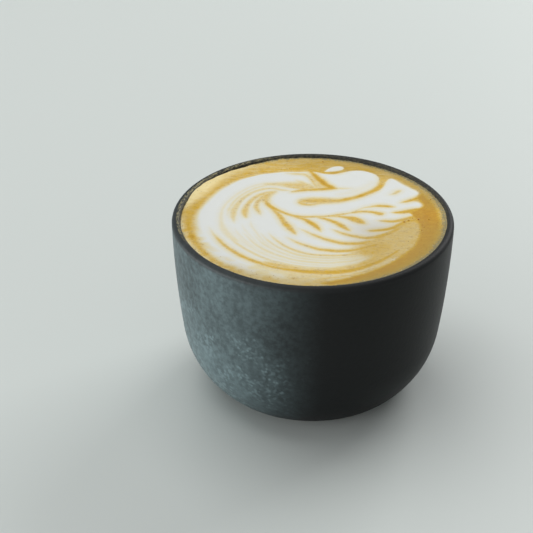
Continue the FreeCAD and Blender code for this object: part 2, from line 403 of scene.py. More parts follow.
def foam_material(settings):
    """Milk foam and crema, with painted light and painted shade, from the numbers that the mesh holds."""
    foam = Material("milk foam and crema")
    milk, depth, froth, bright = (foam.attribute(name) for name in FOAM_NUMBERS)
    fine = foam.grain(0.5 * MM, 3, 0.65) - 0.5
    cloudy = foam.grain(1.9 * MM, 3, 0.6, foam.places((0.75, 1.2, 1))) - 0.5
    streaks = foam.grain(0.8 * MM, 4, 0.7, foam.places((0.45, 1.2, 1))) - 0.5

    # From crema to milk, uneven most of all where the two meet.
    crema = milk.rise(0.92, 0.55)
    unsure = (milk * (1 - milk)) * 4
    uneven = fine * (0.03 + unsure * 0.22 + crema * 0.24) + cloudy * (0.02 + unsure * 0.20 + crema * 0.27)
    colour = foam.ramp(milk + uneven, [
        (0.06, settings.brown), (0.28, settings.gold), (0.52, settings.tan),
        (0.78, settings.cream), (1.0, settings.milk)])
    dark = (streaks * 1.3 + fine * 1.2 + cloudy * 0.6).rise(0.0, 0.36) * crema * (1 - bright)
    colour = foam.mix(dark * 0.60, colour, settings.dark)
    # Painted light: the crema by the wall at the back left is painted paler.
    colour = foam.mix(bright * (0.95 + cloudy + streaks * 0.5), colour, settings.painted_light_tint)
    # Painted shade: darker towards the wall and on the near side.
    colour = foam.mix(depth, colour, settings.shade)

    # Grey froth clings to the wall, with paler specks in it.
    clinging = (froth + fine * 2.4 + cloudy * 1.0).rise(0.35, 0.95) * froth.rise(0.0, 0.3)
    colour = foam.mix(clinging * 0.85, colour, settings.froth)
    glints = foam.dots(0.8 * MM).rise(0.30, 0.10) * froth.rise(0.05, 0.45)
    colour = foam.mix(glints * 0.42, colour, settings.cream)

    # Tiny bubbles: sparse in the crema, crowded in the froth.
    cells = foam.dots(0.55 * MM)
    pick = foam.node("ShaderNodeSeparateColor", {}, foam.dots(0.55 * MM, output=1))
    crowd = crema * 0.10 + froth * 0.30
    holes = cells.rise(0.36, 0.14) * (pick - (1 - crowd)).rise(0.0, 0.06)
    colour = foam.mix(holes * 0.55, colour, settings.bubble)
    normal = foam.bump(fine * 0.5 + cloudy * 0.8 - holes * 0.8 + froth * fine, 0.12 * MM, 0.5)
    return foam.finish(Base_Color=colour, Roughness=0.44 + froth * 0.15, Normal=normal,
                       Specular_IOR_Level=0.30)


def bubble_material(settings):
    """A glossy skin over dark coffee."""
    skin = Material("coffee bubble")
    tone = skin.grain(0.4 * MM, 2).rise(0.3, 0.7)
    brown = skin.mix(tone * 0.4 + 0.55, settings.bubble, settings.brown)
    return skin.finish(Base_Color=brown, Roughness=0.22 + tone * 0.1)


# Modelling

def deselect():
    """Leaves edit mode, with nothing selected."""
    if bpy.context.object and bpy.context.object.mode != "OBJECT":
        bpy.ops.object.mode_set(mode="OBJECT")
    bpy.ops.object.select_all(action="DESELECT")


def polar(centre, radius, angle):
    return Vector((centre[0] + radius * cos(angle), centre[1] + radius * sin(angle)))


def arc(centre, radius, first, last, steps):
    return [polar(centre, radius, first + (last - first) * i / steps) for i in range(steps + 1)]


def straight(start, end, steps):
    start, end = Vector(start), Vector(end)
    return [start.lerp(end, i / steps) for i in range(steps + 1)]


class Wall:
    """The arcs of the cup's wall, in its half section: distance from the axis, and height."""

    def __init__(self, settings):
        if settings.belly_radius - settings.wall <= settings.floor_corner:
            raise ValueError("the wall is too thick for the curve between the floor and the wall")
        self.settings = settings
        self.lip_radius = settings.wall / 2
        self.lip = Vector((RIM_RADIUS - self.lip_radius, CUP_HEIGHT - self.lip_radius))
        self.side = polar(self.lip, self.lip_radius - settings.side_radius, -settings.rim_lean)
        self.belly_lean = asin((self.side.y - settings.belly_top) / settings.side_radius)
        self.belly = polar(self.side, settings.side_radius - settings.belly_radius, -self.belly_lean)
        self.foot_lean = asin((self.belly.y - settings.foot_height) / settings.belly_radius)
        self.inner_belly = settings.belly_radius - settings.wall
        to_corner = self.inner_belly - settings.floor_corner
        drop = self.belly.y - FLOOR_HEIGHT - settings.floor_corner
        self.corner_lean = asin(drop / to_corner)
        self.corner = polar(self.belly, to_corner, -self.corner_lean)

    def outside(self):
        """From the foot's shelf up to the top of the lip."""
        s = self.settings
        return (arc(self.belly, s.belly_radius, -self.foot_lean, -self.belly_lean, 26)
                + arc(self.side, s.side_radius, -self.belly_lean, -s.rim_lean, 22)[1:]
                + arc(self.lip, self.lip_radius, -s.rim_lean, pi / 2, 9)[1:])

    def inside(self, into=0.0, from_lip=True):
        """From the top of the lip down to the floor's middle, set into the wall by a distance."""
        s = self.settings
        side = arc(self.side, s.side_radius - s.wall + into, -s.rim_lean, -self.belly_lean, 14)
        belly = arc(self.belly, self.inner_belly + into, -self.belly_lean, -self.corner_lean, 12)[1:]
        corner = arc(self.corner, s.floor_corner + into, -self.corner_lean, -pi / 2, 10)[1:]
        floor = straight((self.corner.x, FLOOR_HEIGHT - into), (0, FLOOR_HEIGHT - into), 4)[1:]
        lip = arc(self.lip, self.lip_radius, pi / 2, pi - s.rim_lean, 9)[1:-1] if from_lip else []
        return lip + side + belly + corner + floor

    def underside(self):
        """From the middle of the recess out over the foot ring to the belly."""
        s = self.settings
        edge = FOOT_EDGE
        ring = s.foot_radius - edge - s.ring_width
        belly_start = polar(self.belly, s.belly_radius, -self.foot_lean)
        return (straight((0, s.recess), (ring - s.recess, s.recess), 4)
                + straight((ring - s.recess, s.recess), (ring, 0), 2)[1:]
                + straight((ring, 0), (s.foot_radius - edge, 0), 2)[1:]
                + arc((s.foot_radius - edge, edge), edge, -pi / 2, 0, 5)[1:]
                + straight((s.foot_radius, edge), (s.foot_radius, s.foot_height), 2)[1:]
                + straight((s.foot_radius, s.foot_height), belly_start, 2)[1:-1])


def close_up(piece):
    """Turns the faces outward and smooths them. Raises an error if an edge is left open."""
    bpy.ops.mesh.select_mode(type="VERT")
    bpy.ops.mesh.select_all(action="SELECT")
    bpy.ops.mesh.normals_make_consistent(inside=False)
    bpy.ops.mesh.select_all(action="DESELECT")
    bpy.ops.mesh.select_non_manifold()
    if piece.data.total_vert_sel:
        raise RuntimeError(f"{piece.name} is open at {piece.data.total_vert_sel} points")
    bpy.ops.object.mode_set(mode="OBJECT")
    bpy.ops.object.shade_smooth()


def turned(name, outline, segments):
    """Turns a half section about the axis: one point is extruded along the outline and then spun."""
    deselect()
    bpy.ops.mesh.primitive_plane_add(size=MM, location=(0, 0, 0))
    piece = bpy.context.object
    piece.name = piece.data.name = name
    bpy.ops.object.mode_set(mode="EDIT")
    bpy.ops.mesh.select_all(action="SELECT")
    bpy.ops.mesh.merge(type="CENTER")
    first = outline[0]
    bpy.ops.transform.translate(value=(first.x, 0, first.y))
    for here, there in zip(outline, outline[1:]):
        step = there - here
        bpy.ops.mesh.extrude_vertices_move(TRANSFORM_OT_translate={"value": (step.x, 0, step.y)})
    bpy.ops.mesh.select_all(action="SELECT")
    bpy.ops.mesh.spin(steps=segments, angle=2 * pi, center=(0, 0, 0), axis=(0, 0, 1), use_auto_merge=True)
    bpy.ops.mesh.select_all(action="SELECT")
    bpy.ops.mesh.remove_doubles(threshold=ONE_POINT)
    close_up(piece)
    return piece


def lay_on(piece, node, material):
    """Gives a piece its material and puts it in the place of the CAD node."""
    piece.data.materials.clear()
    piece.data.materials.append(material)
    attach(piece, "root")
    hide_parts(node)


def read_points(mesh):
    """The mesh's points, one row each."""
    places = np.empty(len(mesh.vertices) * 3)
    mesh.vertices.foreach_get("co", places)
    return places.reshape(-1, 3)


def write_points(mesh, places):
    mesh.vertices.foreach_set("co", places.ravel())
    mesh.update()


def write_number(mesh, name, values):
    mesh.attributes.new(name, "FLOAT", "POINT").data.foreach_set("value", values.astype(np.float32))


# The poured figure. Its unit is a 44th of the rim's radius, x runs right and y away from the camera.
# An outline is a list of (x, y) round a field. A stroke is a list of (x, y, half width).
# How much milk there is runs from 0, dark crema, to 1, white.

WING_OUTLINE = [
    (-36.6, 0), (-36.2, 3.6), (-35, 7.4), (-33.2, 11.7), (-31.2, 15.9), (-28.6, 20), (-25, 24), (-21, 27.2),
    (-17, 29.2), (-12.8, 30.6), (-8, 31.4), (-3, 31.6), (0.4, 31.4), (2.4, 30.9), (4.8, 30.1), (7.8, 29.9),
    (10.6, 30.8), (13, 32), (16, 32.3), (19, 31.6), (21.2, 30), (22.2, 27.6), (22.3, 25), (21.7, 22),
    (20.2, 19.4), (20.8, 17.6), (22.6, 19), (24, 21.6), (24.7, 24.2), (25.5, 26.1), (26.6, 26.6),
    (27.9, 25.6), (29.2, 23.8), (30.9, 21.7), (32.8, 19.5), (34.2, 17.9), (34.8, 16.4), (34.4, 14.9),
    (33, 13.6), (30.6, 12), (29.6, 10.9), (31.2, 10.6), (33, 10.8), (34.4, 10), (34.9, 8.4), (34.2, 6.8),
    (32.4, 6), (29.6, 5), (29.4, 3.4), (30.8, 2.6), (31.2, 1.6), (30.4, 0.6), (28.2, -0.4), (27.4, -1.8),
    (27.4, -3.1), (26, -4.8), (23.6, -6.6), (24.6, -7.4), (24.2, -8.4), (21.6, -10), (19, -11.2),
    (19.2, -12.6), (17.8, -14), (15.2, -15), (14.6, -16.4), (15.6, -17.6), (15.4, -19.4), (17.4, -20.6),
    (18.4, -22), (16, -25.4), (11, -28.6), (4, -30.8), (-3, -30.4), (-9, -28.6), (-15, -27), (-20.4, -29.5),
    (-25.8, -27), (-29.6, -23.4), (-32.4, -19), (-34.8, -13), (-36.4, -6),
]

CREST_OUTLINE = [
    (4.8, 31.5), (5.4, 32.6), (7, 34.4), (8.8, 35.5), (10.4, 35.4), (11.2, 34.2), (10.6, 32.7), (8.8, 31.9),
    (6.6, 31.4),
]

# How much milk, how soft the edge, and the outline, from the bottom layer to the top.
FIELDS = {
    "cream at the near side": (0.69, 3.0, [
        (-35.6, -8), (-33, -18), (-27.5, -27.5), (-20, -34.5), (-10, -39.5), (-1, -41), (5, -40), (11, -37.2),
        (17, -33.4), (22, -29), (25, -25), (22, -23.4), (17, -27.6), (9, -31), (0, -32), (-10, -30),
        (-19, -25), (-27, -15)]),
    "milk at the near side": (0.90, 3.6, [
        (-35, -11), (-31.4, -21), (-26.4, -28), (-20, -32.8), (-14, -35.4), (-8, -36.6), (-8, -34.8),
        (-14, -32), (-20, -28), (-26, -21), (-31, -12)]),
    "pale lobe": (0.54, 1.6, [
        (12, -16), (16, -15.4), (20, -13), (24, -9.6), (27, -6), (29.4, -3.8), (31.6, -3), (32.9, -4.6),
        (33, -8.4), (32, -13), (29.8, -18), (26.6, -22.2), (22.6, -25), (18, -26), (13, -24), (11, -19)]),
    "crescent": (0.10, 1.8, [
        (31.2, 3.2), (31.8, 0.4), (32.7, -3), (33, -6), (32.7, -10), (31.6, -14.4), (29.8, -18.4),
        (27.4, -22), (24.4, -25.4), (20.6, -29), (16.6, -32), (12.4, -34.6), (8.4, -36.6), (4.4, -38.2),
        (1.5, -39.4), (6, -40.2), (12, -38.6), (18, -36.2), (24, -32.4), (29, -28), (33.4, -22.6),
        (36.8, -16.2), (39, -9.6), (39.8, -2.4), (39.6, 3), (38.4, 9), (36.6, 14), (34.8, 17.6), (33.6, 14.6),
        (34.6, 11.6), (35, 8.8), (34, 6.4)]),
    "channel behind the head": (0.50, 3.0, [
        (21.6, 24), (22.4, 28), (22, 32), (24, 34), (27.6, 32), (28, 29), (26, 26.4), (24.2, 22.4)]),
    "wing and body": (1.0, 1.2, WING_OUTLINE),
    "tan by the lobe": (0.44, 6.5, [
        (12.4, -17.8), (15.4, -15.6), (18.4, -14.6), (21.4, -15), (22.8, -18), (21.2, -22.2), (17.4, -24.6),
        (13.4, -23.6), (11.6, -20.8)]),
    "crest": (0.97, 0.8, CREST_OUTLINE),
    "fleck": (0.80, 0.8, [
        (22.6, -25.6), (23.2, -24.9), (23.9, -25.3), (23.6, -26), (22.9, -26.1)]),
}

# How much milk, how soft the edge, and the path.
STROKES = {
    "crest underline": (0.42, 0.7, [
        (5, 31, 0.2), (7.6, 30.8, 0.35), (9.4, 31, 0.5), (11, 31.8, 0.55), (12.4, 33, 0.5)]),
    "throat": (0.14, 1.2, [
        (0.2, 31.6, 0.5), (1.4, 28.8, 0.8), (2.6, 26.4, 1.1), (3.8, 24.3, 1.2), (5, 22.2, 1.0),
        (6.4, 20.4, 1.0), (7.2, 19.8, 0.6)]),
    "throat dark": (0.05, 1.0, [
        (1.8, 28, 0.1), (2.4, 26.6, 0.35), (3.2, 25.2, 0.55), (4, 23.9, 0.75), (4.9, 22.2, 0.5),
        (5.8, 20.8, 0.4), (6.6, 20, 0.1)]),
    "throat haze": (0.64, 1.6, [
        (-0.6, 30, 0.3), (0.6, 26.4, 1.0), (2, 23.4, 1.7), (3.6, 21.2, 2.0), (4.6, 20.4, 1.7)]),
    "throat base": (0.22, 1.2, [
        (-6, 17.4, 0.3), (-3, 18.3, 0.6), (0, 18.9, 0.7), (3, 19.2, 0.8), (6.2, 19.6, 0.8),
        (7.8, 19.6, 0.4)]),
    "throat tail": (0.70, 1.0, [
        (7.4, 19.6, 0.5), (10, 19.6, 0.4), (13.4, 19.7, 0.2)]),
    "nape line": (0.56, 1.0, [
        (-8, 30.2, 0.15), (-4.6, 30, 0.45), (-2, 29.6, 0.55), (-0.6, 28.2, 0.5), (0.6, 26.6, 0.4),
        (1.2, 24.6, 0.3)]),
    "fan wash": (0.52, 2.4, [
        (-15, 22.6, 0.3), (-10, 22.6, 0.9), (-5.6, 22, 1.8), (-2.4, 21.2, 2.0), (0.2, 20.4, 1.5)]),
    "fan edge": (0.44, 2.0, [
        (-4.4, 25, 0.2), (-2.8, 23.4, 0.45), (-1.4, 21.6, 0.6), (-0.2, 19.8, 0.5)]),
    "fan low": (0.40, 1.2, [
        (-9, 21.4, 0.2), (-5.8, 20.6, 0.5), (-2.8, 19.6, 0.6), (-0.2, 19, 0.5)]),
    "blob": (0.35, 2.2, [
        (-2.6, 11, 1.3), (0, 11.2, 1.7), (3.4, 11.2, 1.7), (6.6, 11.1, 1.4), (9.6, 11.7, 1.0),
        (12, 12.5, 0.6)]),
    "blob low": (0.30, 1.2, [
        (-4.2, 11, 0.2), (-3.6, 9.6, 0.45), (-2, 8.7, 0.5), (0.4, 8.8, 0.4), (3.4, 9.8, 0.3),
        (6.4, 10.4, 0.3)]),
    "neck shadow": (0.29, 1.0, [
        (5, 10.8, 0.3), (8, 11.3, 0.8), (10.4, 12, 0.95), (13, 13.1, 0.9), (15.8, 14.7, 0.95),
        (18.6, 16.8, 0.95), (20.9, 19.2, 0.9), (22.3, 21.6, 0.5)]),
    "neck shadow top": (0.53, 1.1, [
        (20.4, 18.4, 0.4), (22.3, 21.6, 0.95), (23.4, 25, 1.1), (23.8, 28.4, 1.4), (24, 31, 1.9)]),
    "neck shadow deep": (0.10, 1.0, [
        (9, 11.7, 0.1), (11.6, 12.4, 0.4), (14, 13.6, 0.35), (15.8, 14.7, 0.75), (17.4, 15.9, 0.4),
        (19.2, 17.4, 0.5), (21, 19.4, 0.15)]),
    "curl outermost": (0.82, 1.2, [
        (-11, 24.4, 0.15), (-15, 23.3, 0.4), (-19, 21, 0.4), (-22.6, 17.4, 0.4), (-25.6, 12.6, 0.4),
        (-27.6, 8, 0.4), (-28.5, 3, 0.45), (-28.6, -1.6, 0.6), (-28, -6, 0.9), (-26.4, -10.4, 1.2),
        (-23.6, -14.6, 1.0)]),
    "curl outer": (0.74, 1.1, [
        (-9, 22.6, 0.2), (-13, 22.4, 0.4), (-16.6, 20.8, 0.4), (-20, 18, 0.4), (-22.8, 14.4, 0.4),
        (-25, 10, 0.4), (-26.2, 5.4, 0.35), (-26.6, 1.6, 0.2)]),
    "curl middle": (0.63, 1.1, [
        (-6.6, 18.1, 0.2), (-9.6, 18.7, 0.45), (-12.4, 19.7, 0.45), (-15.2, 19.3, 0.5), (-18, 17.6, 0.5),
        (-20.6, 14.8, 0.6), (-22.6, 11.6, 0.7), (-24, 8, 0.8), (-24.8, 4.4, 0.9), (-24.9, 1.4, 0.7),
        (-24.7, -1.6, 0.3), (-24.2, -4, 0.05)]),
    "curl inner": (0.52, 1.1, [
        (-12.6, 17.6, 0.4), (-14.8, 16.6, 0.6), (-17, 14.6, 0.7), (-18.8, 12, 0.7), (-20.2, 9, 0.8),
        (-21, 6, 1.0), (-21.2, 3.6, 1.0), (-21, 1.2, 0.5), (-20.6, -0.8, 0.1)]),
    "curl least": (0.50, 1.1, [
        (-15, 15, 0.5), (-16.4, 12.6, 0.6), (-17.3, 10, 0.65), (-17.6, 7.4, 0.7), (-17.2, 5, 0.55),
        (-16.6, 2.8, 0.3), (-16, 1, 0.05)]),
    "curls meeting": (0.46, 2.0, [
        (-11.6, 17.4, 0.4), (-13.6, 15.9, 1.1), (-14.8, 13.8, 1.4), (-14.8, 11.6, 1.1), (-14.2, 10, 0.6)]),
    "body underline": (0.30, 0.8, [
        (-14.6, 11, 0.4), (-14, 9, 0.7), (-12.8, 7, 0.7), (-10.8, 4.8, 0.55), (-8.6, 2.9, 0.55),
        (-6.4, 1.6, 0.5), (-3.6, 0.8, 0.45), (0, 0.6, 0.4), (4, 0.9, 0.35), (8, 1.8, 0.4), (11.4, 3.2, 0.3),
        (14, 4.8, 0.2), (16.4, 6.6, 0.2), (19.4, 7.6, 0.35)]),
    "neck haze": (0.90, 2.6, [
        (9, 15.6, 0.6), (13, 17, 1.2), (17, 20, 1.0), (20, 24, 0.4)]),
    "plume upper": (0.27, 0.9, [
        (17.4, 7.2, 0.1), (19.8, 7.8, 0.4), (22, 7.9, 0.6), (24, 7.6, 0.55), (25.4, 7.3, 0.3),
        (26.6, 7.1, 0.1)]),
    "plume low": (0.28, 0.9, [
        (11, 2.9, 0.2), (13.4, 3.8, 0.4), (16.2, 4.1, 0.5), (18.8, 3.8, 0.55), (20.4, 3.1, 0.8),
        (21.3, 2.7, 0.85), (22.2, 2.2, 0.2)]),
    "drop large": (0.30, 0.9, [
        (5, 0.7, 0.25), (8.4, 0.8, 0.4), (11.2, 0.1, 0.95), (13.2, -1.1, 1.45), (14.6, -2.4, 1.25),
        (15.8, -3.5, 0.4)]),
    "feather 1": (0.32, 1.0, [
        (-14, 9.4, 0.5), (-12.4, 6, 0.5), (-10.6, 2, 0.6), (-9, -2.2, 0.85), (-7.6, -5.6, 0.95),
        (-6.4, -8.4, 0.6), (-5.2, -11, 0.1)]),
    "feather 2": (0.26, 0.9, [
        (-6, 0.9, 0.3), (-3, -0.7, 0.55), (-0.9, -2.7, 0.85), (0.6, -4.9, 0.85), (1.6, -7, 0.45),
        (2.3, -9.2, 0.1)]),
    "feather 3": (0.26, 0.9, [
        (1.6, 0.2, 0.3), (4.6, -1.2, 0.55), (7, -3.1, 0.8), (8.8, -5.1, 0.9), (10, -6.7, 0.55),
        (11.6, -8.8, 0.1)]),
    "tip fleck": (0.55, 1.0, [
        (24.6, 15, 0.1), (26.6, 16.2, 0.4), (28, 17.7, 0.6), (28.7, 18.6, 0.25)]),
    "tip stroke upper": (0.22, 0.9, [
        (28, 10, 0.15), (30.2, 10.8, 0.5), (32.4, 12, 0.75), (34.6, 13.3, 0.9), (36.6, 14.4, 1.1)]),
    "tip stroke lower": (0.18, 0.9, [
        (24.4, 3.4, 0.1), (26.6, 3.5, 0.5), (28.8, 3.8, 0.9), (31.2, 4.5, 1.0), (34, 5.2, 1.1),
        (37, 5.4, 1.3)]),
    "beak of the wing": (0.30, 0.9, [
        (19.8, -1.7, 0.1), (22.4, -2, 0.45), (25, -2.2, 0.65), (27.4, -1.7, 0.75), (29.6, -0.6, 0.9),
        (31.6, 0.2, 1.3)]),
    "plume last": (0.24, 0.9, [
        (16, -7.9, 0.1), (18.6, -8.1, 0.5), (21.2, -7.8, 0.7), (23.6, -6.9, 0.75), (25.8, -5.4, 0.8),
        (27.4, -3.8, 0.7), (29.2, -2.3, 0.7), (31.6, -1.2, 0.8), (34, -1, 1.2)]),
    "rib 1": (0.32, 1.0, [
        (5.4, -7, 0.1), (7.6, -8.8, 0.35), (10.2, -10.6, 0.5), (13.2, -12, 0.6), (16.4, -12.8, 0.75),
        (19.4, -12.2, 0.9), (22.4, -10.6, 1.0), (25, -8.4, 0.9), (27, -6.2, 0.5)]),
    "rib 2": (0.32, 1.0, [
        (-4.6, -6.6, 0.1), (-2, -9, 0.25), (1, -11.6, 0.4), (4, -13.7, 0.55), (7.2, -15.4, 0.7),
        (10.6, -16.2, 0.8), (14, -16, 0.9), (17, -15, 0.8)]),
    "rib 3": (0.32, 1.0, [
        (-8.4, -12.2, 0.1), (-5.4, -15, 0.3), (-2.4, -17.3, 0.4), (0.8, -19.2, 0.55), (4.2, -20.3, 0.7),
        (8, -20.6, 0.75), (12, -19.9, 0.75), (15.4, -18.6, 0.9), (18.4, -17, 1.0)]),
    "outer line": (0.25, 1.1, [
        (-32, -6, 0.05), (-30.6, -10.4, 0.2), (-28.4, -15, 0.4), (-25.6, -19.2, 0.5), (-22, -23.5, 0.55),
        (-18.8, -26.2, 0.6), (-15.4, -28.4, 0.6), (-12, -30.2, 0.6), (-8, -31.4, 0.8), (-4, -32.4, 1.1),
        (0, -33, 1.2), (4, -33.1, 1.25), (8, -32.5, 1.2), (12, -31.1, 1.1), (15.4, -29.3, 1.0),
        (18.6, -27, 0.9), (21.4, -24.4, 0.8), (24.4, -21.2, 0.6), (27, -17.6, 0.1)]),
    "cheek wash": (0.90, 4.0, [
        (-26.6, -7, 0.6), (-24, -12.6, 1.4), (-20.4, -17.6, 1.8), (-15.6, -21.6, 1.8), (-9, -25, 1.6),
        (-2, -26.8, 1.4)]),
    "lobe foot": (0.36, 3.0, [
        (11, -21.6, 0.3), (14, -20.6, 1.2), (17, -18.6, 2.2), (19, -16.4, 2.0), (20.6, -14.6, 1.0)]),
}

# Fine lines that the pour combed between two strokes: milk in each line, and the two paths.
COMBED_SOFT = 0.7
COMBED = {
    "down the throat": ((0.50, 0.60, 0.42), [
        (-1.6, 28.6, 0.2), (-0.2, 27, 0.4), (0.8, 24, 0.4), (1.6, 21.6, 0.4), (2, 19.8, 0.3)], [
        (0.6, 29.6, 0.2), (1.6, 27, 0.4), (2.8, 24.4, 0.5), (4.2, 21.8, 0.6), (5, 20.2, 0.4)]),
    "under the ribs": ((0.56, 0.72, 0.80, 0.76, 0.84, 0.70), [
        (-13.8, -9.6, 0.1), (-11.4, -14, 0.3), (-9, -17.4, 0.4), (-6, -20, 0.45), (-2.4, -22.2, 0.45),
        (2, -23.1, 0.5), (7, -23.3, 0.5), (12, -22.4, 0.55), (16, -20.9, 0.6), (19.4, -19, 0.6)], [
        (-27, -8.6, 0.1), (-25, -13.4, 0.3), (-21.6, -18.6, 0.4), (-17.4, -23, 0.45), (-12, -26.8, 0.45),
        (-5.6, -29.4, 0.45), (2, -30.6, 0.5), (9, -29.6, 0.55), (15.4, -26.6, 0.6), (21, -22, 0.6)]),
    "beside the curls": ((0.84, 0.88, 0.86), [
        (-19.4, -1, 0.1), (-19, -5, 0.3), (-17.4, -10, 0.35), (-15, -15, 0.35), (-11.4, -19.4, 0.3),
        (-7, -22.6, 0.1)], [
        (-24.4, -6, 0.1), (-23.4, -9, 0.3), (-21.6, -13, 0.35), (-18.8, -17.4, 0.35), (-14.6, -21.8, 0.3),
        (-9.4, -25.2, 0.1)]),
    "outside the outer line": ((0.52, 0.60), [
        (-4, -36.8, 0.1), (2, -36.6, 0.4), (8, -35.4, 0.5), (13, -33.4, 0.5), (18, -30.2, 0.4),
        (22, -26.8, 0.1)], [
        (-9, -38.6, 0.1), (-3, -39.2, 0.4), (3, -38.8, 0.5), (9, -37, 0.5), (14, -34.6, 0.4),
        (19, -31.2, 0.1)]),
}

# Painted light: crema by the wall at the back left, painted paler where light falls on it: how soft the edge
# is, and the outline.
PAINTED_LIGHT_OUTLINE = (4.6, [
    (-45, 7), (-43.4, 14), (-40, 23), (-35, 30), (-28, 36), (-20, 40), (-19.4, 36.6), (-25.6, 31.4),
    (-28.6, 26.4), (-31.4, 20.8), (-34.4, 15.4), (-38.2, 10.4), (-41, 7),
])

# Broken bubbles: x, y and radius.
BUBBLES = [
    (32.9, -1.2, 0.46), (28.4, -2.9, 0.42), (29.8, -1.9, 0.36), (33.7, -4.8, 0.26), (33.4, -8.2, 0.22),
    (34.2, -6.4, 0.18), (36.2, -1.4, 0.24), (31.2, -0.6, 0.2), (12.6, 39.6, 0.2), (39.2, 12.6, 0.24),
    (-9.6, 33, 0.16), (-6.7, 33.6, 0.18), (4.4, 38.4, 0.34), (37.9, 11.6, 0.26), (23.2, -25.2, 0.16),
]

# Small bubbles near the wall: how many, from and to which angle in degrees, from and to which distance from
# the middle, and the smallest and largest radius.
BUBBLE_BANDS = [
    (70, 165, 215, 38.6, 40.9, 0.06, 0.13), (60, -40, 60, 38.2, 41.0, 0.06, 0.14),
    (26, 215, 262, 37.0, 40.6, 0.06, 0.15), (30, -30, 5, 33.4, 38.0, 0.05, 0.10),
]
# A bubble's height over its width.
BUBBLE_HEIGHT = 0.5

# Height of the foam's edge below the rim: degrees round the cup from +X, and millimetres.
EDGE_LEVEL = [
    (0, 0.30), (30, 0.62), (60, 0.95), (90, 0.72), (105, 0.62), (122, 1.05), (136, 0.85), (148, 0.5),
    (158, 0.6), (166, 1.2), (174, 1.5), (184, 1.42), (205, 1.0), (235, 0.8), (270, 0.65), (300, 0.5),
    (330, 0.35), (360, 0.30),
]


def smooth_path(points, closed=False, steps=5):
    """A Catmull-Rom curve through the points, which may have any number of coordinates."""
    p = np.array(points, float)
    if closed:
        p = np.vstack([p[-1:], p, p[:2]])
    else:
        p = np.vstack([2 * p[0] - p[1], p, 2 * p[-1] - p[-2]])
    t = np.linspace(0, 1, steps, endpoint=False)[:, None]
    spans = [
        0.5 * (2 * b + (c - a) * t + (2 * a - 5 * b + 4 * c - d) * t**2 + (3 * b - a - 3 * c + d) * t**3)
        for a, b, c, d in zip(p, p[1:], p[2:], p[3:])
    ]
    return np.vstack(spans + [p[-2:-1]])


def rise(value, start, end):
    """0 at start and 1 at end, with a smooth step between, whichever of them is larger."""
    t = np.clip((value - start) / (end - start), 0, 1)
    return t * t * (3 - 2 * t)


def ripple(x, y, size, seed):
    """Smooth unevenness between about -1 and 1, with features of about this size."""
    draw = np.random.default_rng(seed)
    total = np.zeros_like(x)
    for _ in range(10):
        turn, phase = draw.uniform(0, 2 * pi, 2)
        pitch = size * draw.uniform(0.6, 1.8)
        total += np.sin((x * cos(turn) + y * sin(turn)) * 2 * pi / pitch + phase)
    return total / 5


def distance_to(x, y, path):
    """Distance from each place to the path, less the path's half width there, and that half width."""
    nearest = np.full(x.shape, 1e9)
    width = np.zeros(x.shape)
    widths = path[:, 2] if path.shape[1] > 2 else np.zeros(len(path))
    for (ax, ay), (bx, by), aw, bw in zip(path[:, :2], path[1:, :2], widths, widths[1:]):
        dx, dy = bx - ax, by - ay
        along = np.clip(((x - ax) * dx + (y - ay) * dy) / (dx * dx + dy * dy + 1e-12), 0, 1)
        here = aw + along * (bw - aw)
        away = np.hypot(x - ax - along * dx, y - ay - along * dy) - here
        width = np.where(away < nearest, here, width)
        nearest = np.minimum(nearest, away)
    return nearest, width


def inside_of(x, y, outline):
    """True inside a closed outline."""
    within = np.zeros(x.shape, bool)
    for (ax, ay), (bx, by) in zip(outline, np.roll(outline, -1, axis=0)):
        crosses = (ay > y) != (by > y)
        with np.errstate(divide="ignore", invalid="ignore"):
            within ^= crosses & (x < (bx - ax) * (y - ay) / (by - ay) + ax)
    return within


def outside_by(x, y, outline):
    """Distance outside a closed outline, negative within it."""
    path = smooth_path(outline, closed=True)
    return distance_to(x, y, path)[0] * np.where(inside_of(x, y, path), -1, 1)


def lay_stroke(milk, x, y, shade, soft, points):
    """Draws crema into the milk along a path, with a faint halo. It fades where the path is narrow."""
    path = smooth_path(points)
    widest = path[:, 2].max() + soft + HALO
    near = ((x > path[:, 0].min() - widest) & (x < path[:, 0].max() + widest)
            & (y > path[:, 1].min() - widest) & (y < path[:, 1].max() + widest))
    away, width = distance_to(x[near], y[near], path)
    strength = rise(0.15 + width / 0.55, 0, 1)
    core = rise((away - 0.12) / (soft * 1.7), 0.5, -0.5)
    halo = 0.26 * rise(away, HALO, 0)
    milk[near] = np.minimum(milk[near], 1 - (1 - shade) * 0.95 * strength * np.maximum(core, halo))


def draw_swan(x, y, milk):
    """Lays the fields into the milk, then the strokes over them."""
    for name, (amount, soft, outline) in FIELDS.items():
        beyond = outside_by(x, y, outline)
        if name == "wing and body":
            # Crema that the milk pushed aside stands deeper along its edge on the left and at the back.
            pushed = rise(y * 0.8 - x * 0.6, -6, 6)
            milk -= 0.07 * pushed * rise(np.abs(beyond - 1.6), 3, 0)
            # The edge runs out slowly on the near side, on the left and at the wing's tip.
            soft = soft + 2.2 * rise(-x * 0.5 - y, 12, 26) + 1.6 * rise(x, -18, -30)
            soft = soft + 1.1 * rise(x, 24, 30) * rise(y, 4, 10)
        milk += (amount - milk) * rise(beyond / soft, 0.5, -0.5)
    for shade, soft, points in STROKES.values():
        lay_stroke(milk, x, y, shade, soft, points)
    for shades, first, last in COMBED.values():
        first, last = np.array(first), np.array(last)
        for step, shade in enumerate(shades):
            line = first + (last - first) * step / (len(shades) - 1)
            lay_stroke(milk, x, y, shade, COMBED_SOFT, line)


